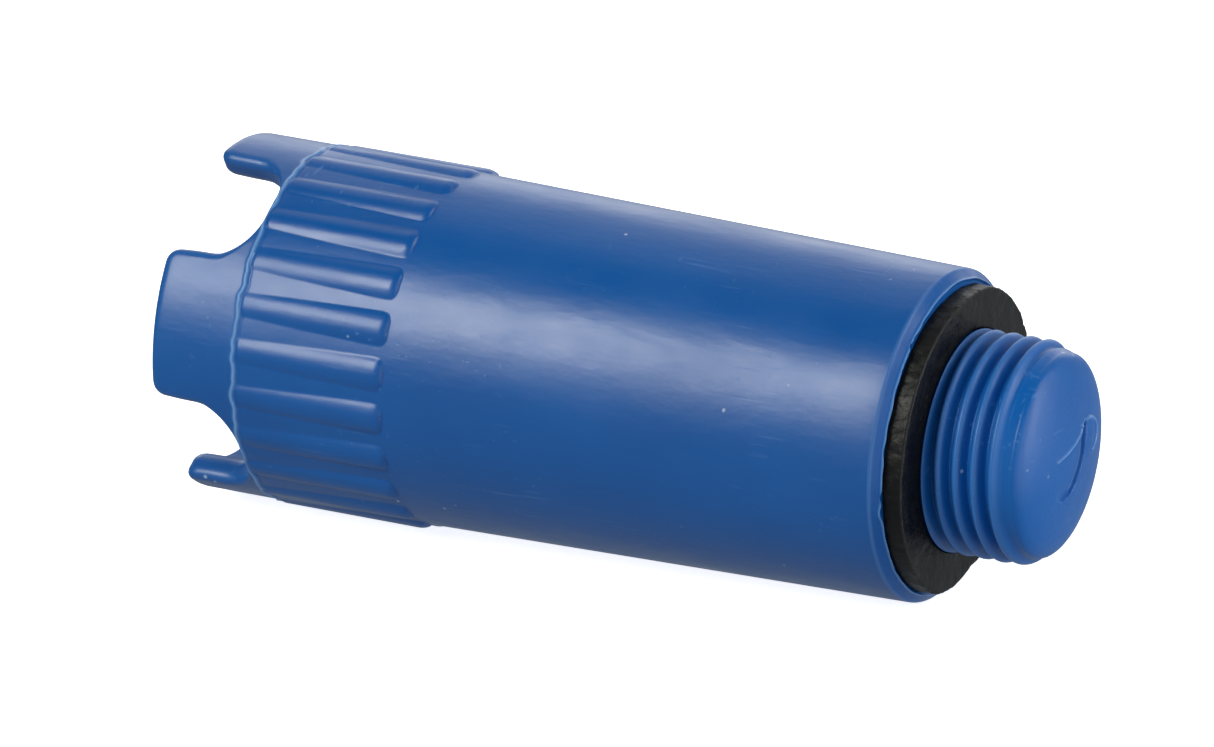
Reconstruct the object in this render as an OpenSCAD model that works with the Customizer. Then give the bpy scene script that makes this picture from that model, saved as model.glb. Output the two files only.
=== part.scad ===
// Screw-in test plug for a half-inch pipe fitting.
// Millimetres, +Z up. The plug lies on its side: its axis is the X axis and the
// thread points to +X. The origin is on the axis, on the plane where the thread
// starts, just in front of the gasket.

/* [Barrel] */
// Length of the barrel from its parting line to the gasket seat
barrel_length = 65.5; // [50:0.1:80]
// Outside radius of the barrel at the parting line
barrel_back_radius = 16.9; // [15:0.05:19]
// Outside radius of the barrel at the gasket end
barrel_front_radius = 15.62; // [14:0.05:18]
// Radius of the flat gasket seat, inside the bevelled edge
seat_radius = 14.75; // [13:0.05:16]
// Length of the bevel around the gasket seat
seat_bevel_length = 0.85; // [0.3:0.05:2]
// Width of the raised parting line
parting_width = 0.3; // [0.1:0.05:0.6]
// Height of the raised parting line
parting_height = 0.1; // [0.05:0.05:0.3]

/* [Grip ribs] */
// Number of grip ribs around the barrel
rib_count = 24; // [12:1:36]
// Radius of the rounded top of a rib
rib_radius = 2.57; // [1:0.01:4]
// Height of a rib above the barrel at the parting line
rib_height = 0.22; // [0.1:0.01:1]
// Length of a rib
rib_length = 15.7; // [8:0.1:25]
// Angle of the first rib, from +Z towards +Y
rib_angle = -64.6; // [-180:0.1:180]

/* [Crown] */
// Length of the slotted crown behind the parting line
crown_length = 8.85; // [5:0.05:14]
// Width of a crown slot
slot_width = 10.6; // [6:0.1:14]
// Depth of a crown slot
slot_depth = 8.6; // [4:0.1:12]
// Corner radius at the floor of a crown slot
slot_corner = 4.2; // [1:0.1:5]
// Corner radius at the tip of a prong
prong_corner = 1.0; // [0.3:0.1:2]
// Angle of the first crown slot, from +Z towards +Y
slot_angle = -30.2; // [-180:0.1:180]

/* [Hollow] */
// Radius of the hollow at the open end
hollow_back_radius = 14; // [12:0.05:16]
// Radius of the hollow at its inner end
hollow_front_radius = 12.9; // [11:0.05:15]
// Thickness of the wall behind the gasket seat
seat_wall = 3.0; // [2:0.1:5]
// Radius of the hollow inside the threaded spigot
spigot_hollow_radius = 7.2; // [5:0.1:8]
// Thickness of the closed end of the spigot
end_wall = 2.5; // [1.5:0.1:4]

/* [Threaded spigot] */
// Radius over the crests of the thread
thread_radius = 10.4775; // [10:0.0005:11]
// Radius at the roots of the thread
thread_root_radius = 9.35; // [9:0.01:10]
// Distance from one crest to the next
thread_pitch = 1.814; // [1.5:0.001:2]
// Distance from the start of the spigot to the middle of the first crest
first_crest = 0.41; // [0.3:0.01:1]
// Width of the flat on top of a crest
crest_width = 0.35; // [0.2:0.01:0.6]
// Number of crests
crest_count = 5; // [3:1:8]
// Radius of the plain nose beyond the thread
nose_radius = 9.6; // [9:0.05:10.4]
// Length of the spigot up to the rim of the nose
spigot_length = 9.85; // [8:0.05:14]
// Radius of the rounded rim of the nose
nose_round = 1.6; // [0.5:0.1:3]
// Height of the domed end face
nose_dome = 0.83; // [0.1:0.01:2]
// Height of the torn moulding gate on the end face
gate_height = 0.25; // [0.1:0.05:1]

/* [Gasket] */
// Outside radius of the gasket
gasket_radius = 14.7; // [13:0.05:15]
// Radius of the hole in the gasket, just wide enough to pass over the thread
gasket_bore_radius = 10.5; // [10.48:0.01:12]
// Thickness of the gasket
gasket_thickness = 1.9; // [1:0.05:3]
// Radius of the plain neck the gasket turns around
neck_radius = 10.0; // [9:0.05:10.3]
// Gap between the gasket and its seat
gasket_back_gap = 0.02; // [0.01:0.01:0.1]
// Gap between the gasket and the start of the thread
gasket_front_gap = 0.1; // [0.05:0.01:0.3]

/* [Hidden] */
$fn = 96;
seat_x = -(gasket_thickness + gasket_back_gap + gasket_front_gap);
barrel_front_x = seat_x - seat_bevel_length;
parting_x = seat_x - barrel_length;
tip_x = parting_x - crown_length;
hollow_front_x = seat_x - seat_wall;
rib_centre = barrel_back_radius + rib_height - rib_radius;
nose_rim_x = spigot_length - nose_round;
dome_base = nose_radius - nose_round;
thread_half = (thread_radius - thread_root_radius) * tan(27.5) + crest_width / 2;
cut_reach = barrel_back_radius + 4;

// Turns a solid of revolution drawn about Z so that it lies along +X.
module along_x() {
    rotate([0, 90, 0]) children();
}

// Turns something placed on +Z to an angle measured from +Z towards +Y.
module at_angle(a) {
    rotate([-a, 0, 0]) children();
}

// Outline of the plug in one half plane: crown, barrel, gasket seat, neck, thread and nose.
module outline() {
    polygon(concat(
        [
            [0, tip_x], [barrel_back_radius, tip_x],
            [barrel_back_radius, parting_x - parting_width / 2],
            [barrel_back_radius + parting_height, parting_x - parting_width / 2],
            [barrel_back_radius + parting_height, parting_x + parting_width / 2],
            [barrel_back_radius, parting_x + parting_width / 2],
            [barrel_front_radius, barrel_front_x], [seat_radius, seat_x],
            [neck_radius, seat_x], [neck_radius, 0],
            [thread_radius, 0], [thread_radius, first_crest + crest_width / 2],
            [thread_root_radius, first_crest + thread_half]
        ],
        [
            for (i = [1 : crest_count - 1], side = [-1, 1], top = [0, 1])
                let (high = side < 0 ? top : 1 - top)
                [
                    high == 1 ? thread_radius : i == crest_count - 1 && side > 0
                        ? nose_radius : thread_root_radius,
                    first_crest + i * thread_pitch
                        + side * (high == 1 ? crest_width / 2 : thread_half)
                ]
        ],
        [[nose_radius, nose_rim_x], [dome_base, nose_rim_x], [dome_base, spigot_length],
         [dome_base / 2, spigot_length + nose_dome * 0.8], [0, spigot_length + nose_dome]]
    ));
    translate([dome_base, nose_rim_x]) circle(r = nose_round);
}

// Rounded grip ribs at the back of the barrel.
module grip_ribs() {
    for (i = [0 : rib_count - 1]) {
        at_angle(rib_angle + i * 360 / rib_count)
            translate([parting_x, 0, rib_centre]) along_x()
                cylinder(r = rib_radius, h = rib_length);
    }
}

// Cutter for one slot that crosses the whole crown: flared mouth, rounded floor corners.
module crown_slot() {
    floor_x = tip_x + slot_depth;
    half = slot_width / 2;
    translate([0, 0, -cut_reach]) linear_extrude(2 * cut_reach) {
        polygon([
            [tip_x - 1, -half - prong_corner], [tip_x, -half - prong_corner],
            [tip_x + prong_corner, -half], [floor_x - slot_corner, -half],
            [floor_x, slot_corner - half], [floor_x, half - slot_corner],
            [floor_x - slot_corner, half], [tip_x + prong_corner, half],
            [tip_x, half + prong_corner], [tip_x - 1, half + prong_corner]
        ]);
        for (side = [-1, 1])
            translate([floor_x - slot_corner, side * (half - slot_corner)])
                circle(r = slot_corner);
    }
}

// Hollow of the barrel, open at the crown, with a narrower hollow in the spigot.
module hollow() {
    along_x() rotate_extrude() polygon([
        [0, tip_x - 1], [hollow_back_radius, tip_x - 1], [hollow_back_radius, tip_x],
        [hollow_front_radius, hollow_front_x], [spigot_hollow_radius, hollow_front_x],
        [spigot_hollow_radius, spigot_length - end_wall], [0, spigot_length - end_wall]
    ]);
}

// Torn moulding gate left on the end face of the spigot.
module gate_mark() {
    translate([spigot_length - 0.5, 1.5, -0.4]) along_x()
        cylinder(r = 2.5, h = 0.5 + nose_dome + gate_height);
}

// Blue moulded body of the plug: crown, ribbed barrel, neck and threaded spigot.
module plug_body() {
    color([0.11, 0.33, 0.6])
    difference() {
        union() {
            along_x() rotate_extrude() outline();
            grip_ribs();
            gate_mark();
        }
        hollow();
        for (i = [0 : 1]) {
            at_angle(slot_angle + i * 90) crown_slot();
        }
    }
}

// Black rubber gasket that turns freely around the neck.
module gasket() {
    color([0.08, 0.08, 0.08])
    translate([seat_x + gasket_back_gap, 0, 0]) along_x()
        difference() {
            cylinder(r = gasket_radius, h = gasket_thickness);
            translate([0, 0, -1])
                cylinder(r = gasket_bore_radius, h = gasket_thickness + 2);
        }
}

plug_body();
gasket();
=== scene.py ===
import math

import bpy
import numpy as np
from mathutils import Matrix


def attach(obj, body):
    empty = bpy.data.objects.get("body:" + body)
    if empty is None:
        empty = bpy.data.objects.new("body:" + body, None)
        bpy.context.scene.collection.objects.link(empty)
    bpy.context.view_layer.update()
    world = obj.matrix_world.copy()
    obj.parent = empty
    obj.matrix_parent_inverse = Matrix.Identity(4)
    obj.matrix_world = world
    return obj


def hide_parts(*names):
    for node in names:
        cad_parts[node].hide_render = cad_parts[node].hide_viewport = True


# Look of the screw-in test plug. Lengths are in millimetres until a mesh, a light or the camera is made.
# X runs along the plug's axis, and angles go round it from +Z towards +Y.

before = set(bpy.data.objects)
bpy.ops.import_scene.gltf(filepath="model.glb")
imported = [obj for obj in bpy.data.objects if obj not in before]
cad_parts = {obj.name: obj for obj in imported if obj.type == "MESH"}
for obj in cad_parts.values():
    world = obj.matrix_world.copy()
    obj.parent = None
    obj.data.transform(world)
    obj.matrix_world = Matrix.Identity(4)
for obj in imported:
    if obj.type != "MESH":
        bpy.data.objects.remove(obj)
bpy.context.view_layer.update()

MM = 0.001
TAU = 2 * math.pi

# Where things are along the axis
SEAT_X = -2.02          # flat seat behind the gasket
RIM_X = -2.80           # edge of the barrel's front bevel
PARTING_X = -67.52      # parting line between barrel and crown
TIP_X = -76.37          # tips of the crown's prongs
HOLLOW_END_X = -5.02    # inner end of the wide hollow
SPIGOT_HOLLOW_X = 7.35  # inner end of the spigot's hollow

# Barrel
BACK_R = 16.9
RIM_R = 15.62
SEAT_R = 14.78
RIM_ROUND = 0.28

# Grip ribs
RIB_COUNT = 24
RIB_ANGLE = math.radians(-64.6)
RIB_TOP_R = 17.11
RIB_R = 2.57
RIB_END_X = -52.15
RIB_HALF_WIDTH = 1.62
RIB_CORNER = 1.2        # rounding of a rib's front end, seen from above
RIB_NOSE = 1.0          # length over which its front end comes down
RIB_NOSE_POWER = 2.2
RIB_BLEND = 0.05        # soft edge where a rib meets the barrel
RIB_BACK_RISE = 0.34    # length over which a rib rises from the parting line
RIB_BACK_GAP = 0.08

# Crown
SLOT_COUNT = 4
SLOT_ANGLE = math.radians(-30.2)
SLOT_HALF = 5.3
SLOT_TAPER = 0.12
SLOT_CORNER = 4.2
SLOT_FLOOR_X = -67.80
PRONG_CORNER = 1.5
PRONG_EDGE = 1.0
SLOT_EDGE = 1.15
INNER_BACK_R = 14.0
INNER_FRONT_R = 12.9
SPIGOT_INNER_R = 7.2
HOLLOW_ROUND = 0.8      # rounding where the wide hollow meets its floor
SHOULDER_ROUND = 0.4    # rounding where that floor drops into the spigot's hollow
SPIGOT_ROUND = 0.6      # rounding at the end of the spigot's hollow
EIGHTH = math.pi / 4    # angle between a slot's middle and a prong's middle
# Offsets from a slot's middle at which the prong's corner ends, and of the prong's middle
PRONG_CORNER_T = SLOT_HALF + SLOT_TAPER + PRONG_CORNER
PRONG_MIDDLE_T = BACK_R * math.sin(EIGHTH)

# Thread and nose
PITCH = 1.814
THREAD_X = -2.55        # a crest's place at angle 0, one turn before the first
CREST_R = 10.47
ROOT_R = 9.35
ROOT_RISE = 0.5         # how much shallower the groove is at its last turn
CREST_SHARPNESS = 0.8
THREAD_FADE = (7.1, 8.1)
RUN_OUT = (6.9, 7.7)
SHOULDER_X = 7.6
NECK_CONE_R = 10.45     # a short cone joins the first turn to the neck
NECK_CONE_SLOPE = 1.6
NOSE_R = 9.6
NECK_R = 10.0
CREST_PAINTED_HIGHLIGHT = 0.2        # painted highlight: how much paler the crests are painted
DOME_X = 8.55
DOME_H = 2.10
SWIRL_H = 0.0035        # faint turning marks on the nose
SWIRL_STEP = 0.62

# Parting line: where it runs, then the height and width of its ridge, its burrs and the groove beside it
PARTING_BULGE = 0.16
PARTING_WANDER = 0.085
PARTING_JOG = 0.14
RIDGE_H = 0.14
RIDGE_WAVER = 0.03
RIDGE_LIMITS = (0.08, 0.19)
RIDGE_WIDTH = 0.18
RIDGE_PALE_WIDTH = 0.19
GROOVE_H, GROOVE_OFF, GROOVE_WIDTH = 0.05, 0.40, 0.16
BURR_H, BURR_OFF, BURR_WIDTH = 0.07, 0.22, 0.14
# Burrs: angle in degrees, and half width in radians
PARTING_BURRS = [
    (-60.8, 0.012), (-57.5, 0.006), (-54.5, 0.009), (-52.6, 0.005), (-48.0, 0.007), (-24.0, 0.008),
    (31.0, 0.010), (94.0, 0.007), (133.0, 0.010), (-141.0, 0.008), (-98.0, 0.006),
]

# Torn moulding gate on the end face, as lines of (y, z)
GATE_EDGE = [(-3.4, 0.8), (-1.4, 1.05), (0.3, 1.45), (1.5, 1.95), (1.95, 2.35), (1.7, 2.65)]
GATE_LOOP = [
    (1.7, 2.65), (2.6, 2.85), (3.6, 2.85), (4.5, 2.55), (5.3, 2.0),
    (5.75, 1.25), (5.75, 0.45), (5.2, -0.15), (4.3, -0.6),
]
GATE_GROOVE = [
    (2.75, 2.3), (2.4, 1.1), (2.15, -0.3), (1.5, -1.4),
    (0.5, -2.55), (-0.5, -3.15), (-2.0, -3.4), (-3.1, -3.0),
]
GATE_GROOVE_H = 0.40

# Thin flash on the seat's edge
FLASH_H = 0.19
FLASH_WAVER = 0.045
FLASH_LIMITS = (0.08, 0.26)
# How pale the flash is painted: stress whitening, partly a painted highlight
FLASH_PALE = 0.75
# Its breaks: angle in degrees, and half width in radians
FLASH_BREAKS = [(-36, 0.02), (-93, 0.035)]
STRAY_ANGLE, STRAY_WIDTH, STRAY_H = -99, 0.06, 0.30
# Across the flash: how far out, and how much of its height
FLASH_PROFILE = [(-0.07, 0.0), (-0.04, 0.75), (0.0, 1.0), (0.045, 0.75), (0.09, 0.0)]
FLASH_OUT = 0.09

# Gasket
GASKET_BACK_X = -1.99
GASKET_FRONT_X = -0.11
GASKET_BORE_R = 10.52
GASKET_BORE_MIN_R = 10.505  # clear of the thread's crests
GASKET_ROUND = 0.22     # worn outer front edge
GASKET_BACK_ROUND = 0.08
GASKET_BORE_ROUND = 0.06
GASKET_FLARE = 0.05     # how much wider it is at the back
# The die-cut outline isn't round: angle in degrees, then radius
GASKET_OUTLINE = [
    (-155, 14.50), (-125, 14.48), (-95, 14.35), (-60, 14.2), (-30, 14.05), (-3, 13.85), (24, 14.3),
    (45, 14.45), (57, 14.46), (64, 14.40), (70, 14.3), (110, 14.2), (150, 13.6), (174, 13.05), (190, 13.9),
]
# Nicks and lumps on it: height, angle and half width in degrees
GASKET_NICKS = [(0.08, 54, 1.2), (-0.16, 60, 1.1), (0.09, 65, 1.0), (0.05, 22, 1.5)]

COLUMNS = 840
GASKET_COLUMNS = 600


# ---------------------------------------------------------------- small helpers

def smoothstep(a, b, x):
    t = np.clip((x - a) / (b - a), 0, 1)
    return t * t * (3 - 2 * t)


def soft_min(a, b, k):
    h = np.maximum(k - np.abs(a - b), 0) / k
    return np.minimum(a, b) - h * h * k / 4


def soft_max(a, b, k):
    return -soft_min(-a, -b, k)


def wrap(a):
    return (a + math.pi) % TAU - math.pi


def bell(x, width):
    return np.exp(-(x / width) ** 2)


def arc(count):
    """Angles over a quarter turn, both ends included."""
    return np.linspace(0, math.pi / 2, count)


def ripple(angle, seed, waves, low, high):
    """Smooth seeded noise round the axis, about -1 to 1."""
    rng = np.random.default_rng(seed)
    out = np.zeros_like(angle)
    for _ in range(waves):
        out = out + rng.uniform(-1, 1) * np.sin(rng.integers(low, high) * angle + rng.uniform(0, TAU))
    return out / math.sqrt(waves) * 1.4


def line_parts(y, z, points):
    """For each stretch of a polyline: the distance from each (y, z) to it, and the side, -1 on its left."""
    for (y0, z0), (y1, z1) in zip(points, points[1:]):
        dy, dz = y1 - y0, z1 - z0
        t = np.clip(((y - y0) * dy + (z - z0) * dz) / (dy * dy + dz * dz), 0, 1)
        yield np.hypot(y - y0 - t * dy, z - z0 - t * dz), np.sign(dz * (y - y0) - dy * (z - z0))


def line_distance(y, z, points):
    """Distance from each (y, z) to a polyline."""
    best = np.full(np.shape(y), 1e9)
    for distance, _ in line_parts(y, z, points):
        best = np.minimum(best, distance)
    return best


def signed_line_distance(y, z, points):
    """Distance from each (y, z) to a polyline, below zero on the left of its direction."""
    best, sign = np.full(np.shape(y), 1e9), np.ones(np.shape(y))
    for distance, side in line_parts(y, z, points):
        sign = np.where(distance < best, side, sign)
        best = np.minimum(best, distance)
    return best * sign


class Rings:
    """Rings of points round the axis, and one value for each point that the material reads."""

    def __init__(self, angle):
        self.angle = angle
        self.points, self.values = [], []

    def add(self, x, r, value=0.0, angle=None):
        angle = self.angle if angle is None else angle
        x, r = np.broadcast_to(x, angle.shape), np.broadcast_to(r, angle.shape)
        self.points.append(np.stack([x, r * np.sin(angle), r * np.cos(angle)], -1))
        self.values.append(np.broadcast_to(value, angle.shape))


# ---------------------------------------------------------------- plug body surface

def barrel_radius(x):
    return BACK_R + (RIM_R - BACK_R) * np.clip((x - PARTING_X) / (RIM_X - PARTING_X), 0, 1)


def inner_radius(x):
    return INNER_BACK_R + (INNER_FRONT_R - INNER_BACK_R) * (x - TIP_X) / (HOLLOW_END_X - TIP_X)


def rib_profile(angle):
    """Radius of the ribs' rounded bars, before they meet the barrel, and the offset from a rib's middle."""
    step = TAU / RIB_COUNT
    d = (angle - RIB_ANGLE + step / 2) % step - step / 2
    centre = RIB_TOP_R - RIB_R
    return centre * np.cos(d) + np.sqrt(RIB_R ** 2 - (centre * np.sin(d)) ** 2), centre * np.sin(d)


def parting_place(angle):
    """Where the moulded parting line runs: it wanders, bulges back at each rib and has one jog."""
    bar, _ = rib_profile(angle)
    bulge = smoothstep(-0.15, 0.22, bar - BACK_R)
    jog = smoothstep(math.radians(-63.5), math.radians(-62), wrap(angle)) \
        * (1 - smoothstep(math.radians(-60), math.radians(-58.5), wrap(angle)))
    wander = PARTING_WANDER * ripple(angle, 3, 12, 6, 70)
    return PARTING_X - PARTING_BULGE * bulge + wander - PARTING_JOG * jog


def parting_ridge(angle, x):
    """Height of the parting line's ridge, with its burrs and the shallow groove on its front side."""
    height = RIDGE_H + RIDGE_WAVER * ripple(angle, 5, 12, 8, 90)
    off = x - parting_place(angle)
    burr = sum(bell(wrap(angle - math.radians(deg)), width) for deg, width in PARTING_BURRS)
    ridge = np.clip(height, *RIDGE_LIMITS) * bell(off, RIDGE_WIDTH)
    ridge = ridge - GROOVE_H * bell(off - GROOVE_OFF, GROOVE_WIDTH)
    return ridge + BURR_H * burr * bell(off - BURR_OFF, BURR_WIDTH)


# Stress whitening along the parting line, partly a painted highlight on its ridge
def parting_pale(angle, x):
    return bell(x - parting_place(angle), RIDGE_PALE_WIDTH)


def outer_radius(angle, x):
    """Barrel with its ribs and parting line."""
    base = barrel_radius(x)
    bar, side = rib_profile(angle)
    over = np.maximum(np.abs(side) - (RIB_HALF_WIDTH - RIB_CORNER), 0)
    end = RIB_END_X - RIB_CORNER + np.sqrt(np.maximum(RIB_CORNER ** 2 - over ** 2, 0.0001))
    nose = np.clip((x - end + RIB_NOSE) / RIB_NOSE, 0, 1)
    rise = (bar - base) * (1 - nose ** RIB_NOSE_POWER) ** (1 / 2.0)
    rise = soft_max(rise, np.zeros_like(rise), RIB_BLEND)
    start = np.maximum(parting_place(angle) + RIB_BACK_GAP, PARTING_X)
    rise = rise * smoothstep(0.0, RIB_BACK_RISE, x - start)
    return base + rise + parting_ridge(angle, x)


def thread_radius(angle, x):
    """Helical thread that fades out at the nose, and the cone that joins it to the neck."""
    turn = (x - THREAD_X) / PITCH + angle / TAU
    off = turn - np.round(turn)
    crest_x = x - PITCH * off
    crest = (0.5 + 0.5 * np.cos(TAU * off)) ** CREST_SHARPNESS
    fade = 1 - smoothstep(*THREAD_FADE, crest_x)
    root = ROOT_R + ROOT_RISE * smoothstep(*RUN_OUT, x)
    root = root - (ROOT_R + ROOT_RISE - NOSE_R) * smoothstep(SHOULDER_X, DOME_X, x)
    r = root + (CREST_R - root) * crest * fade
    return np.minimum(soft_max(r, NECK_CONE_R - NECK_CONE_SLOPE * x, 0.1), CREST_R)


def gate_relief(y, z):
    """Torn moulding gate on the end face: a raised tear, a curled lip and a sunken crescent."""
    edge = line_distance(y, z, GATE_EDGE)
    loop = line_distance(y, z, GATE_LOOP)
    groove = signed_line_distance(y, z, GATE_GROOVE)
    # Seen on the end face, the groove's right wall is steep and its left side slopes
    wall = np.where(groove < 0, bell(groove, 0.16), bell(groove, 0.55))
    depth = GATE_GROOVE_H * smoothstep(-3.6, -1.0, y)
    relief = 0.14 * bell(edge, 0.12) + 0.15 * bell(loop, 0.15) - depth * wall
    relief = relief + 0.16 * np.exp(-((y - 4.1) ** 2 + (z - 0.9) ** 2) / 1.4 ** 2)
    # Stress whitening on the tear and the lip, partly a painted highlight along them
    pale = 0.9 * bell(edge, 0.13) + 0.75 * bell(loop, 0.16)
    return relief, pale


def edge_curve():
    """Half of one slot's edge, from the floor's middle to the prong's middle.

    Returns each point's offset and x, the way out of the plastic there, and the length so far.
    """
    pts, outs = [], []

    def add(t, x, nt, nx):
        pts.append((t, x))
        outs.append((nt, nx))

    flat = SLOT_HALF - SLOT_CORNER
    for t in np.linspace(0, flat, 8)[:-1]:
        add(t, SLOT_FLOOR_X, 0, -1)
    for a in arc(40)[:-1]:
        t = flat + SLOT_CORNER * math.sin(a)
        add(t, SLOT_FLOOR_X - SLOT_CORNER * (1 - math.cos(a)), -math.sin(a), -math.cos(a))
    side0, side1 = SLOT_FLOOR_X - SLOT_CORNER, TIP_X + PRONG_CORNER
    for s in np.linspace(0, 1, 24)[:-1]:
        add(SLOT_HALF + SLOT_TAPER * s * s, side0 + (side1 - side0) * s, -1, 0)
    for a in arc(20)[:-1]:
        t = PRONG_CORNER_T - PRONG_CORNER * math.cos(a)
        add(t, side1 - PRONG_CORNER * math.sin(a), -math.cos(a), -math.sin(a))
    for t in np.linspace(PRONG_CORNER_T, PRONG_MIDDLE_T, 40):
        add(t, TIP_X, 0, -1)
    pts, outs = np.array(pts), np.array(outs)
    length = np.concatenate([[0], np.cumsum(np.hypot(*np.diff(pts, axis=0).T))])
    return pts, outs, length


def slot_angle_at(t, r):
    """Angle from a slot's middle of a point at offset t and radius r.

    The offset is straight across the slot near it, and spread evenly over the prong.
    """
    limit = np.arcsin(PRONG_CORNER_T / r)
    inside = np.arcsin(np.minimum(t, PRONG_CORNER_T) / r)
    over = (t - PRONG_CORNER_T) / (PRONG_MIDDLE_T - PRONG_CORNER_T)
    return np.where(t <= PRONG_CORNER_T, inside, limit + over * (EIGHTH - limit))


def offset_of_angle(a):
    """The other way round, on the barrel's surface."""
    limit = math.asin(PRONG_CORNER_T / BACK_R)
    over = PRONG_CORNER_T + (a - limit) / (EIGHTH - limit) * (PRONG_MIDDLE_T - PRONG_CORNER_T)
    return np.where(a <= limit, BACK_R * np.sin(np.minimum(a, limit)), over)


def add_end_face(rings):
    """Domed end face with the torn gate."""
    flat_r = 6.6
    flat = np.arange(0.05, flat_r, 0.045) / NOSE_R
    edge = np.sin(np.linspace(math.asin(flat_r / NOSE_R), math.pi / 2, 30))
    for s in np.concatenate([flat, edge]):
        t = math.asin(min(s, 1.0))
        rho = NOSE_R * s
        relief, pale = gate_relief(rho * np.sin(rings.angle), rho * np.cos(rings.angle))
        wave = np.sin(TAU * rho / SWIRL_STEP + 1.3 * ripple(rings.angle, 17, 4, 1, 4))
        swirl = SWIRL_H * smoothstep(1.5, 3.0, rho) * wave
        rings.add(DOME_X + DOME_H * math.cos(t) + relief + swirl * math.cos(t), rho, pale)


def add_thread(rings):
    for x in np.arange(DOME_X - 0.08, 0.0, -0.075):
        r = thread_radius(rings.angle, x)
        # The crests are painted paler, a painted highlight
        rings.add(x, r, CREST_PAINTED_HIGHLIGHT * smoothstep(9.9, 10.4, r))
    rings.add(0.0, thread_radius(rings.angle, 0.0))


def add_seat(rings):
    """Neck, seat, the flash on the seat's edge, the bevel and the rounded rim."""
    angle = rings.angle
    for x in (-0.02, -0.7, -1.4):
        rings.add(x, NECK_R)
    for r in (NECK_R, 11.4, 12.8, 14.0, 14.4):
        rings.add(SEAT_X, r)
    gap = sum(bell(wrap(angle - math.radians(deg)), width) for deg, width in FLASH_BREAKS)
    whole = 1 - np.clip(gap, 0, 1)
    stray = STRAY_H * bell(wrap(angle - math.radians(STRAY_ANGLE)), STRAY_WIDTH)
    flash = np.clip(FLASH_H + FLASH_WAVER * ripple(angle, 11, 10, 6, 60), *FLASH_LIMITS) * whole
    lip_r = SEAT_R + 0.025 * ripple(angle, 13, 8, 3, 30) + stray
    for off, up in FLASH_PROFILE:
        x = SEAT_X - (stray + max(off, 0)) * 0.5 + up * flash
        rings.add(x, lip_r + off, FLASH_PALE * up * whole)
    start_r = lip_r + FLASH_OUT
    for s in np.linspace(0.12, 0.86, 6):
        x = SEAT_X - 0.05 - stray * 0.5 + (RIM_X + 0.12 - SEAT_X) * s + stray * 0.5 * s
        rings.add(x, start_r + (RIM_R - 0.10 - start_r) * s)
    slope = math.atan2(RIM_R - SEAT_R, SEAT_X - RIM_X)
    for a in np.linspace(slope, 0, 6)[1:]:
        x = RIM_X - RIM_ROUND * 0.3 + RIM_ROUND * math.sin(a) * 0.9
        # Painted highlight: the rim's rounding is painted paler
        rings.add(x, RIM_R - RIM_ROUND * (1 - math.cos(a)), 0.22)


def add_barrel(rings):
    """Barrel and ribs up to the parting line, with closer rings at the ribs' ends and at the line."""
    rib_front, rib_back, near_line = -51.0, -53.9, PARTING_X + 0.72
    xs = np.concatenate([
        np.linspace(RIM_X - 0.25, rib_front, 54),
        np.linspace(rib_front, rib_back, 34)[1:],
        np.linspace(rib_back, near_line, 30)[1:],
        np.linspace(near_line, PARTING_X, 17)[1:],
    ])
    for x in xs:
        rings.add(x, outer_radius(rings.angle, x), parting_pale(rings.angle, x))


def crown_columns(base_t, side):
    """Where each column meets the crown's edge: signed side, offset and x, and the way out of the plastic."""
    pts, outs, length = edge_curve()
    # Lengths along the edge at which the slot's flat floor, rounded corner, side and the prong's corner end
    ends = [0, SLOT_HALF - SLOT_CORNER, SLOT_HALF - SLOT_CORNER + SLOT_CORNER * math.pi / 2]
    ends += [ends[-1] + (SLOT_FLOOR_X - SLOT_CORNER) - (TIP_X + PRONG_CORNER)]
    ends += [ends[-1] + PRONG_CORNER * math.pi / 2, length[-1]]
    # The columns that reach them, by their offset on the parting line
    starts = [0, 1.1, 6.6, 7.8, 8.8, base_t.max()]
    along = np.interp(base_t, starts, ends)
    # Smoothed over neighbouring columns, so their spacing changes gradually
    reach = 9
    kernel = bell(np.arange(-reach, reach + 1), 4.5)
    jump = 2 * length[-1]
    signed = along * side
    unrolled = np.unwrap(signed / jump * TAU) * jump / TAU
    whole = SLOT_COUNT * jump
    padded = np.concatenate([unrolled[-reach:] - whole, unrolled, unrolled[:reach] + whole])
    smooth = np.convolve(padded, kernel / kernel.sum(), "valid") - (unrolled - signed)
    smooth = np.clip(smooth, -length[-1], length[-1])
    edge_side, along = np.where(smooth < 0, -1.0, 1.0), np.abs(smooth)
    edge_t, edge_x = (np.interp(along, length, pts[:, k]) for k in (0, 1))
    out = np.stack([np.interp(along, length, outs[:, k]) for k in (0, 1)], -1)
    out = out / np.hypot(out[:, 0], out[:, 1])[:, None]
    return edge_side, edge_t * edge_side, edge_x, out[:, 0], out[:, 1]


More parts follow.
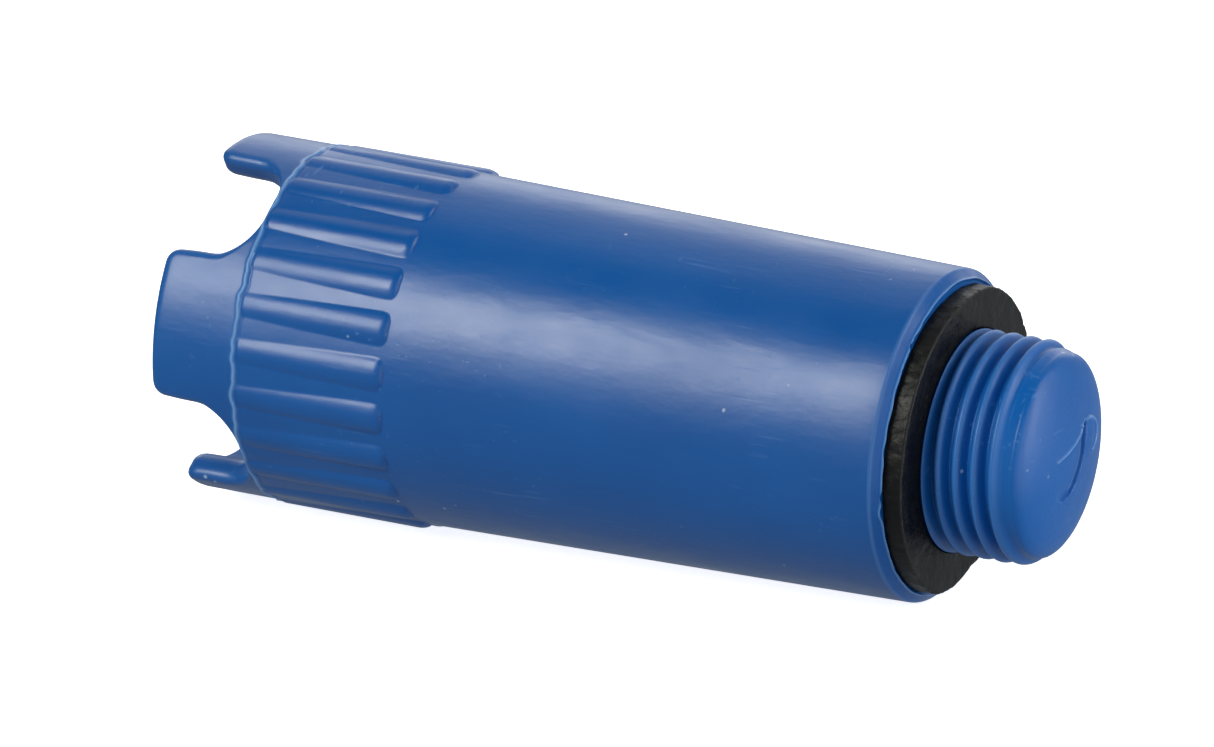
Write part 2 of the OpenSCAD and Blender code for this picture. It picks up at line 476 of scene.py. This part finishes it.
def add_crown(rings, around):
    """From the parting line out to the edge of the slots and prongs, over it, and back down the inside."""
    quarter = (around + EIGHTH) % (math.pi / 2) - EIGHTH
    centre = rings.angle - quarter
    side, local = np.sign(quarter), np.abs(quarter)
    base_t = offset_of_angle(local)
    edge_side, edge_t, edge_x, out_t, out_x = crown_columns(base_t, side)
    base_t = base_t * side
    # The edge's rounding, smaller where the slot's floor comes close to the parting line
    fillet = PRONG_EDGE + (SLOT_EDGE - PRONG_EDGE) * out_t ** 2
    fillet = np.minimum(fillet, 0.10 + 0.30 * (PARTING_X - edge_x))

    def column_angle(t, r):
        return centre + np.sign(t) * slot_angle_at(np.abs(t), r)

    def add(t, x, r, value=0.0):
        rings.add(x, r, value, column_angle(t, r))

    def pulled_back(distance):
        return edge_t - edge_side * out_t * distance, edge_x - out_x * distance

    def between(w):
        return base_t + (inset_t - base_t) * w, PARTING_X + (inset_x - PARTING_X) * w

    inset_t, inset_x = pulled_back(fillet)
    for w in [0.006, 0.012, 0.018, 0.026, 0.036, 0.05, 0.07] + list(np.linspace(0.1, 1, 20)):
        t, x = between(w)
        a = column_angle(t, BACK_R)
        rings.add(x, BACK_R + parting_ridge(a, x), parting_pale(a, x), a)
    turns = arc(7)[1:]
    for a in turns:
        # Painted highlight: the edge's rounding is painted slightly paler
        add(*pulled_back(fillet * (1 - math.sin(a))), BACK_R - fillet * (1 - math.cos(a)), 0.06)
    inner = inner_radius(edge_x)
    for s in np.linspace(0, 1, 9)[1:]:
        add(edge_t, edge_x, (BACK_R - fillet) + (inner + fillet - BACK_R + fillet) * s)
    for a in turns[::-1][1:]:
        add(*pulled_back(fillet * (1 - math.sin(a))), inner + fillet * (1 - math.cos(a)))
    for w in np.linspace(1, 0, 13)[:-1]:
        t, x = between(w)
        add(t, x, inner_radius(x))


def add_hollow(rings):
    """Hollow, its floor, and the narrower hollow in the spigot."""
    for x in np.linspace(PARTING_X, HOLLOW_END_X - HOLLOW_ROUND, 26):
        rings.add(x, inner_radius(x))
    for a in arc(7)[1:]:
        x = HOLLOW_END_X - HOLLOW_ROUND + HOLLOW_ROUND * math.sin(a)
        rings.add(x, inner_radius(HOLLOW_END_X) - HOLLOW_ROUND * (1 - math.cos(a)))
    for r in np.linspace(INNER_FRONT_R - HOLLOW_ROUND, SPIGOT_INNER_R + SHOULDER_ROUND, 6)[1:]:
        rings.add(HOLLOW_END_X, r)
    for a in arc(5)[1:]:
        x = HOLLOW_END_X + SHOULDER_ROUND * (1 - math.cos(a))
        rings.add(x, SPIGOT_INNER_R + SHOULDER_ROUND * (1 - math.sin(a)))
    for x in np.linspace(HOLLOW_END_X + SHOULDER_ROUND, SPIGOT_HOLLOW_X - SPIGOT_ROUND, 10)[1:]:
        rings.add(x, SPIGOT_INNER_R)
    for a in arc(5)[1:]:
        x = SPIGOT_HOLLOW_X - SPIGOT_ROUND + SPIGOT_ROUND * math.sin(a)
        rings.add(x, SPIGOT_INNER_R - SPIGOT_ROUND * (1 - math.cos(a)))
    for r in (4.5, 2.2, 0.6):
        rings.add(SPIGOT_HOLLOW_X, r)


def plug_rings():
    """From the middle of the end face, over the outside, round the crown's edge and down the hollow."""
    around = np.arange(COLUMNS) / COLUMNS * TAU
    rings = Rings(SLOT_ANGLE + around)
    add_end_face(rings)
    add_thread(rings)
    add_seat(rings)
    add_barrel(rings)
    add_crown(rings, around)
    add_hollow(rings)
    return rings


# ---------------------------------------------------------------- gasket surface

def gasket_outline(angle):
    deg = np.degrees(wrap(angle))
    knots = np.array(GASKET_OUTLINE, float)
    a = np.concatenate([knots[:, 0] - 360, knots[:, 0], knots[:, 0] + 360])
    r = np.tile(knots[:, 1], 3)
    # Corners between the knots are rounded over a few degrees
    fine = np.linspace(-200, 200, 4001)
    rough = np.interp(fine, a, r)
    kernel = bell(np.linspace(-4, 4, 81), 1.6)
    smooth = np.convolve(np.pad(rough, 40, "edge"), kernel / kernel.sum(), "valid")
    nicks = sum(height * bell(deg - place, width) for height, place, width in GASKET_NICKS)
    return np.interp(deg, fine, smooth) + nicks + 0.018 * ripple(angle, 21, 14, 10, 120)


def gasket_rings():
    """Front face, worn outer edge, outer side, back face and bore."""
    angle = np.arange(GASKET_COLUMNS) / GASKET_COLUMNS * TAU
    rings = Rings(angle)
    outline = gasket_outline(angle)
    bore = np.maximum(GASKET_BORE_R + 0.012 * ripple(angle, 23, 8, 6, 50), GASKET_BORE_MIN_R)
    back, front = GASKET_BACK_X, GASKET_FRONT_X
    outer, back_outer, inner = GASKET_ROUND, GASKET_BACK_ROUND, GASKET_BORE_ROUND

    def front_face(r):
        swell = 0.03 * ripple(angle, 27, 5, 2, 7) - 0.03
        return front + np.minimum(swell * smoothstep(10.6, 13.5, r), 0)

    for s in np.linspace(0, 1, 12):
        r = bore + inner + (outline - outer - bore - inner) * s
        rings.add(front_face(r), r)
    front_edge = front_face(outline)
    for a in arc(6)[1:]:
        x = front_edge - outer * (1 - math.cos(a))
        # The rounded front edge is lighter along its middle
        rings.add(x, outline - outer * (1 - math.sin(a)), 0.6 * math.sin(2 * a))
    for s in np.linspace(0, 1, 16)[1:-1]:
        x = front_edge - outer + (back + back_outer - front_edge + outer) * s
        scuff = 0.003 * ripple(angle + 0.35 * s, 31, 16, 30, 170) + 0.02 * ripple(angle, 33, 6, 3, 16)
        belly = math.sin(math.pi * s)
        rings.add(x, outline + GASKET_FLARE * s + scuff * belly - 0.05 * belly)
    for a in arc(5):
        x = back + back_outer * (1 - math.sin(a))
        rings.add(x, outline + GASKET_FLARE - back_outer * (1 - math.cos(a)))
    for s in np.linspace(0, 1, 8)[1:]:
        rings.add(back, outline - 0.03 + (bore + inner - outline + 0.03) * s)
    for a in arc(4)[1:]:
        rings.add(back + inner * (1 - math.cos(a)), bore + inner * (1 - math.sin(a)))
    for s in np.linspace(0, 1, 6)[1:]:
        rings.add(back + inner + (front - inner - back - inner) * s, bore)
    for a in arc(4)[1:-1]:
        rings.add(front - inner * (1 - math.sin(a)), bore + inner * (1 - math.cos(a)))
    return rings


# ---------------------------------------------------------------- meshes

def ring_mesh(name, rings, attribute, poles):
    """Mesh from rings of points, with their values in an attribute.

    With poles, the first and last ring each close on their middle. Without, the last ring joins the first.
    """
    rows, values = np.array(rings.points), np.array(rings.values)
    count, around = rows.shape[:2]
    co = rows.reshape(-1, 3)
    value = values.reshape(-1)
    ring = np.arange(count - 1 if poles else count)[:, None]
    base, nxt = ring * around, (ring + 1) % count * around
    i = np.arange(around)
    j = (i + 1) % around
    quads = np.stack([base + i, base + j, nxt + j, nxt + i], -1).reshape(-1, 4)
    tris = np.zeros((0, 3), int)
    if poles:
        first, last = np.full(around, len(co)), np.full(around, len(co) + 1)
        co = np.vstack([co, rows[0].mean(0), rows[-1].mean(0)])
        value = np.append(value, [values[0].mean(), values[-1].mean()])
        end = (count - 1) * around
        tris = np.vstack([np.stack([first, j, i], -1), np.stack([last, end + i, end + j], -1)])
    loops = np.concatenate([quads.reshape(-1), tris.reshape(-1)])
    sizes = np.concatenate([np.full(len(quads), 4), np.full(len(tris), 3)])
    starts = np.concatenate([[0], np.cumsum(sizes)[:-1]])
    mesh = bpy.data.meshes.new(name)
    mesh.vertices.add(len(co))
    mesh.vertices.foreach_set("co", (co * MM).astype(np.float32).reshape(-1))
    mesh.loops.add(len(loops))
    mesh.loops.foreach_set("vertex_index", loops.astype(np.int32))
    mesh.polygons.add(len(sizes))
    mesh.polygons.foreach_set("loop_start", starts.astype(np.int32))
    mesh.polygons.foreach_set("loop_total", sizes.astype(np.int32))
    mesh.update(calc_edges=True)
    mesh.validate()
    mesh.polygons.foreach_set("use_smooth", np.ones(len(mesh.polygons), bool))
    layer = mesh.attributes.new(attribute, "FLOAT", "POINT")
    layer.data.foreach_set("value", value.astype(np.float32))
    return placed(name, mesh)


def placed(name, data):
    """New object in the scene."""
    obj = bpy.data.objects.new(name, data)
    bpy.context.scene.collection.objects.link(obj)
    return obj


# ---------------------------------------------------------------- materials

def map_range(tree, source, low, high, out_low=0.0, out_high=1.0, smooth=False):
    node = tree.nodes.new("ShaderNodeMapRange")
    if smooth:
        node.interpolation_type = "SMOOTHSTEP"
    for key, value in (("From Min", low), ("From Max", high), ("To Min", out_low), ("To Max", out_high)):
        node.inputs[key].default_value = value
    tree.links.new(source, node.inputs["Value"])
    return node.outputs["Result"]


class Nodes:
    """Short way to build a node material. A value is a number, a colour or another node's output."""

    def __init__(self, name):
        self.material = bpy.data.materials.new(name)
        self.material.use_nodes = True
        self.tree = self.material.node_tree
        self.shader = self.tree.nodes["Principled BSDF"]
        self.where = self.add("ShaderNodeTexCoord").outputs["Object"]

    def add(self, kind, **settings):
        node = self.tree.nodes.new(kind)
        for key, value in settings.items():
            setattr(node, key, value)
        return node

    def feed(self, socket, value):
        if isinstance(value, (int, float)):
            socket.default_value = value
        elif isinstance(value, tuple):
            socket.default_value = (*value, 1) if socket.type == "RGBA" else value
        else:
            self.tree.links.new(value, socket)

    def set(self, **inputs):
        """Set the shader's inputs, with _ for a space in their names."""
        for key, value in inputs.items():
            self.feed(self.shader.inputs[key.replace("_", " ")], value)

    def noise(self, scale, detail=3.0, rough=0.5, stretch=None):
        """Noise, with the scale and rotation of its space as stretch."""
        node = self.add("ShaderNodeTexNoise")
        for key, value in (("Scale", scale), ("Detail", detail), ("Roughness", rough)):
            node.inputs[key].default_value = value
        source = self.where
        if stretch:
            mapping = self.add("ShaderNodeMapping")
            mapping.inputs["Scale"].default_value, mapping.inputs["Rotation"].default_value = stretch
            self.tree.links.new(self.where, mapping.inputs["Vector"])
            source = mapping.outputs["Vector"]
        self.tree.links.new(source, node.inputs["Vector"])
        return node.outputs["Fac"]

    def ramp(self, source, *limits):
        return map_range(self.tree, source, *limits)

    def math(self, operation, a, b=0.0):
        node = self.add("ShaderNodeMath", operation=operation)
        for socket, value in zip(node.inputs, (a, b)):
            self.feed(socket, value)
        return node.outputs["Value"]

    def times(self, a, b):
        return self.math("MULTIPLY", a, b)

    def plus(self, a, b):
        return self.math("ADD", a, b)

    def mix(self, factor, a, b):
        node = self.add("ShaderNodeMix", data_type="RGBA")
        # The node has one input of each name for every data type
        fac = [s for s in node.inputs if s.name == "Factor" and s.type == "VALUE"][0]
        colours = [s for s in node.inputs if s.type == "RGBA"]
        for socket, value in ((fac, factor), (colours[0], a), (colours[1], b)):
            self.feed(socket, value)
        return [s for s in node.outputs if s.type == "RGBA"][0]

    def attribute(self, name):
        return self.add("ShaderNodeAttribute", attribute_name=name).outputs["Fac"]

    def bump(self, height, strength, distance, normal=None):
        node = self.add("ShaderNodeBump")
        for key, value in (("Strength", strength), ("Distance", distance), ("Height", height)):
            self.feed(node.inputs[key], value)
        if normal:
            self.feed(node.inputs["Normal"], normal)
        return node.outputs["Normal"]

    def bumps(self, layers):
        """Bumps on top of each other, from rows of noise settings, strength and height in metres."""
        normal = None
        for noise, strength, distance in layers:
            normal = self.bump(self.noise(*noise), strength, distance, normal)
        return normal


DEEP_BLUE = (0.002, 0.083, 0.324)
LIVELY_BLUE = (0.0035, 0.095, 0.356)
CHALKY_BLUE = (0.12, 0.27, 0.56)    # in scratches
STRESS_AND_HIGHLIGHT_BLUE = (0.17, 0.36, 0.69)    # stress whitening on flash, burrs and the torn gate, with painted highlights on them and on the crests, rim and crown edges
# painted light on the spigot and nose
SPIGOT_PAINTED_LIGHT_BLUE = (0.003, 0.21, 0.75)
DUST_BLUE = (0.45, 0.55, 0.7)
ALONG = (0.0, 0.0, 0.0)             # no rotation: the noise is drawn out along the axis

# Bumps: noise scale, detail, roughness and stretch; then strength, and height in metres
PLASTIC_BUMPS = [
    ((1500, 3, 0.6), 0.16, 0.00003),
    ((620, 2, 0.5), 0.35, 0.00004),
    ((230, 4, 0.6, ((0.4, 1.0, 1.0), ALONG)), 0.75, 0.00012),
]
RUBBER_BUMPS = [
    ((2200, 3, 0.6), 0.35, 0.00004),
    ((500, 3, 0.6), 0.8, 0.0003),
    ((180, 3, 0.6), 0.8, 0.0007),
]


def blue_plastic():
    m = Nodes("blue_polypropylene")
    colour = m.mix(m.ramp(m.noise(60, 4), 0.35, 0.65), DEEP_BLUE, LIVELY_BLUE)
    # Fine handling scratches, along and across, in patches
    scratch_a = m.ramp(m.noise(2300, 1, 0.5, ((0.05, 1.0, 1.0), (0.3, 0.2, 0.1))), 0.69, 0.75)
    scratch_b = m.ramp(m.noise(1800, 1, 0.5, ((1.0, 0.06, 1.0), (0.1, 0.6, 0.9))), 0.70, 0.76)
    scratch = m.times(m.math("MAXIMUM", scratch_a, scratch_b), m.ramp(m.noise(90, 2), 0.45, 0.7))
    colour = m.mix(m.times(scratch, 0.4), colour, CHALKY_BLUE)
    # Dust specks
    specks = m.add("ShaderNodeTexVoronoi")
    specks.inputs["Scale"].default_value = 420
    m.feed(specks.inputs["Vector"], m.where)
    speck = m.ramp(specks.outputs["Distance"], 0.05, 0.10, 1, 0)
    speck = m.times(speck, m.ramp(m.noise(260, 1), 0.60, 0.64))
    colour = m.mix(m.times(speck, 0.7), colour, DUST_BLUE)
    # Stress whitening, partly painted highlights, on the raised lines, crests and rounded edges
    colour = m.mix(m.times(m.attribute("pale"), 0.85), colour, STRESS_AND_HIGHLIGHT_BLUE)
    # The spigot is painted a little lighter, painted light standing in for the extra light it catches, and it
    # and the bevel are duller than the barrel
    place = m.add("ShaderNodeSeparateXYZ")
    m.feed(place.inputs[0], m.where)
    x, y, z = (place.outputs[axis] for axis in "XYZ")
    colour = m.mix(m.times(m.ramp(x, -0.0002, 0.0008), 0.13), colour, SPIGOT_PAINTED_LIGHT_BLUE)
    rough = m.ramp(m.noise(240, 5, 0.65, ((0.45, 1.0, 1.0), ALONG)), 0.3, 0.7, 0.28, 0.40)
    rough = m.plus(rough, m.times(scratch, 0.15))
    # The mould's core leaves the hollow duller than the outside
    reach = m.math("SQRT", m.plus(m.math("POWER", y, 2.0), m.math("POWER", z, 2.0)))
    inside = m.times(m.ramp(reach, 0.0141, 0.0145, 1, 0), m.ramp(x, -0.0040, -0.0036, 1, 0))
    dull = m.plus(m.times(inside, 0.35), m.ramp(x, -0.0030, -0.0024, 0, 0.15))
    m.set(
        Base_Color=colour,
        Roughness=m.plus(rough, m.times(inside, 0.25)),
        Specular_IOR_Level=m.math("SUBTRACT", 0.5, dull),
        IOR=1.5,
        Subsurface_Weight=0.06,
        Subsurface_Radius=(0.3, 0.6, 1.0),
        Subsurface_Scale=0.0012,
        Normal=m.bump(scratch, 0.25, -0.00003, m.bumps(PLASTIC_BUMPS)),
    )
    return m.material


def black_rubber():
    m = Nodes("black_rubber")
    colour = m.mix(m.ramp(m.noise(180, 5, 0.6), 0.35, 0.7), (0.003, 0.003, 0.0034), (0.007, 0.007, 0.0066))
    dust = m.times(m.ramp(m.noise(1600, 2, 0.7), 0.66, 0.78), m.ramp(m.noise(200, 2), 0.45, 0.7))
    streak = m.ramp(m.noise(1100, 2, 0.6, ((0.12, 1.0, 1.0), (0.2, 0.4, 0.8))), 0.70, 0.80)
    colour = m.mix(m.times(dust, 0.45), colour, (0.10, 0.10, 0.09))
    colour = m.mix(m.times(streak, 0.30), colour, (0.12, 0.12, 0.12))
    # Lighter along the middle of the rounded front edge
    colour = m.mix(m.times(m.attribute("front_edge_lightening"), 0.35), colour, (0.06, 0.06, 0.058))
    m.set(
        Base_Color=colour,
        Roughness=m.ramp(m.noise(350, 4, 0.65), 0.3, 0.7, 0.34, 0.54),
        Specular_IOR_Level=0.2,
        Normal=m.bumps(RUBBER_BUMPS),
    )
    return m.material


def floor_material():
    m = Nodes("pale_floor")
    tone = m.ramp(m.noise(3, 2), 0.3, 0.7, 0.88, 0.90)
    colour = m.add("ShaderNodeCombineColor")
    for name in ("Red", "Green", "Blue"):
        m.feed(colour.inputs[name], tone)
    m.set(
        Base_Color=colour.outputs["Color"],
        Roughness=0.9,
        Specular_IOR_Level=0.1,
        Emission_Color=(1, 1, 1),
        Emission_Strength=FLOOR_GLOW,
    )
    return m.material


# ---------------------------------------------------------------- studio and view

# The floor glows, because the photo's background is pure white
FLOOR_GLOW = 0.85
FLOOR_SIZE = 4.0
FLOOR_GAP = 0.05        # below the ribs
REST_TILT = math.atan2(RIB_TOP_R - RIM_R, RIM_X - PARTING_X)

KEY_COLOUR = (1, 0.985, 0.91)
WHITE = (1, 1, 1)
# Name, azimuth, elevation, distance, width and height in metres, power in watts, colour
LIGHTS = [
    ("key_softbox", -32, 38, 1.2, 0.40, 0.66, 7.6, KEY_COLOUR),
    ("key_spread", -32, 30, 1.2, 0.5, 0.9, 3.6, KEY_COLOUR),
    ("back_low", 200, 14, 1.4, 1.8, 0.8, 6.2, WHITE),
    ("back_high", 200, 50, 1.4, 1.8, 0.8, 2.8, WHITE),
    ("side_wall", 85, 15, 1.2, 2.4, 2.0, 9.0, WHITE),
    ("side_back", 105, 5, 1.3, 1.6, 1.2, 5.6, WHITE),
    ("side_streak", 112, 20, 1.2, 0.25, 1.4, 4.0, WHITE),
]
LIGHT_AIM = np.array([-30.0, 0.0, 0.0]) * MM

WORLD_COLOUR = (0.84, 0.93, 1, 1)
WORLD_LIGHT = 0.39
ZENITH_LIGHT = 0.02
ZENITH_RANGE = (0.1, 0.9)       # how far up the world darkens
CROWN_SIDE_LIGHT = 0.25
CROWN_SIDE_RANGE = (-0.95, -0.50)

# Camera at the photograph's viewing angle; the shifts put the plug where it is in the frame
VIEW_AZIMUTH = 26.36
VIEW_ELEVATION = 21.20
VIEW_DISTANCE = 1200.0
AIM_RIGHT = -31.41
AIM_UP = 5.81
LENS_MM = 387.2
SENSOR_MM = 36
CLIP_NEAR, CLIP_FAR = 0.05, 20


def direction(azimuth, elevation):
    a, e = math.radians(azimuth), math.radians(elevation)
    return np.array([math.sin(a) * math.cos(e), -math.cos(a) * math.cos(e), math.sin(e)])


def look(obj, right, up, back, place):
    """Put a light or camera at a place in metres. It looks the opposite way from back."""
    matrix = np.eye(4)
    matrix[:3, 0], matrix[:3, 1], matrix[:3, 2], matrix[:3, 3] = right, up, back, place
    obj.matrix_world = matrix.T.tolist()


def add_floor():
    half = FLOOR_SIZE / 2
    corners = [(-half, -half, 0), (half, -half, 0), (half, half, 0), (-half, half, 0)]
    mesh = bpy.data.meshes.new("floor")
    mesh.from_pydata(corners, [], [(0, 1, 2, 3)])
    mesh.materials.append(floor_material())
    floor = placed("floor", mesh)
    floor.location = (PARTING_X * MM, 0, -(RIB_TOP_R + FLOOR_GAP) * MM)
    floor.rotation_euler = (0, -REST_TILT, 0)
    floor.visible_diffuse = False
    floor.visible_glossy = False


def add_light(name, azimuth, elevation, distance, width, height, power, colour):
    light = bpy.data.lights.new(name, "AREA")
    light.shape = "RECTANGLE"
    light.size, light.size_y = width, height
    light.energy = power
    light.color = colour
    place = LIGHT_AIM + direction(azimuth, elevation) * distance
    back = (place - LIGHT_AIM) / np.linalg.norm(place - LIGHT_AIM)
    right = np.cross([0, 0, 1], back)
    right /= np.linalg.norm(right)
    look(placed(name, light), right, np.cross(back, right), back, place)


def add_world():
    """Dim sky that is darker overhead and on the crown's side."""
    world = bpy.data.worlds.new("studio")
    world.use_nodes = True
    tree = world.node_tree
    split = tree.nodes.new("ShaderNodeSeparateXYZ")
    tree.links.new(tree.nodes.new("ShaderNodeTexCoord").outputs["Generated"], split.inputs[0])
    upward = map_range(tree, split.outputs["Z"], *ZENITH_RANGE, WORLD_LIGHT, ZENITH_LIGHT, smooth=True)
    crown_side = map_range(tree, split.outputs["X"], *CROWN_SIDE_RANGE, CROWN_SIDE_LIGHT, 1.0, smooth=True)
    strength = tree.nodes.new("ShaderNodeMath")
    strength.operation = "MULTIPLY"
    tree.links.new(upward, strength.inputs[0])
    tree.links.new(crown_side, strength.inputs[1])
    background = tree.nodes["Background"]
    background.inputs["Color"].default_value = WORLD_COLOUR
    tree.links.new(strength.outputs[0], background.inputs["Strength"])
    bpy.context.scene.world = world


def add_camera():
    back = direction(VIEW_AZIMUTH, VIEW_ELEVATION)
    azimuth = math.radians(VIEW_AZIMUTH)
    right = np.array([math.cos(azimuth), math.sin(azimuth), 0])
    up = np.cross(back, right)
    place = back * VIEW_DISTANCE + right * AIM_RIGHT + up * AIM_UP + np.array([SEAT_X, 0, 0])
    data = bpy.data.cameras.new("camera")
    data.lens = LENS_MM
    data.sensor_width = SENSOR_MM
    data.clip_start, data.clip_end = CLIP_NEAR, CLIP_FAR
    camera = placed("camera", data)
    look(camera, right, up, back, place * MM)
    bpy.context.scene.camera = camera


# ---------------------------------------------------------------- the scene

plug = ring_mesh("plug_moulding", plug_rings(), "pale", poles=True)
plug.data.materials.append(blue_plastic())
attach(plug, "plug")
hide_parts("plug_body")

gasket = ring_mesh("gasket_ring", gasket_rings(), "front_edge_lightening", poles=False)
gasket.data.materials.append(black_rubber())
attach(gasket, "gasket")
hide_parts("gasket")

add_floor()
for settings in LIGHTS:
    add_light(*settings)
add_world()
add_camera()
bpy.context.scene.view_settings.view_transform = "Standard"
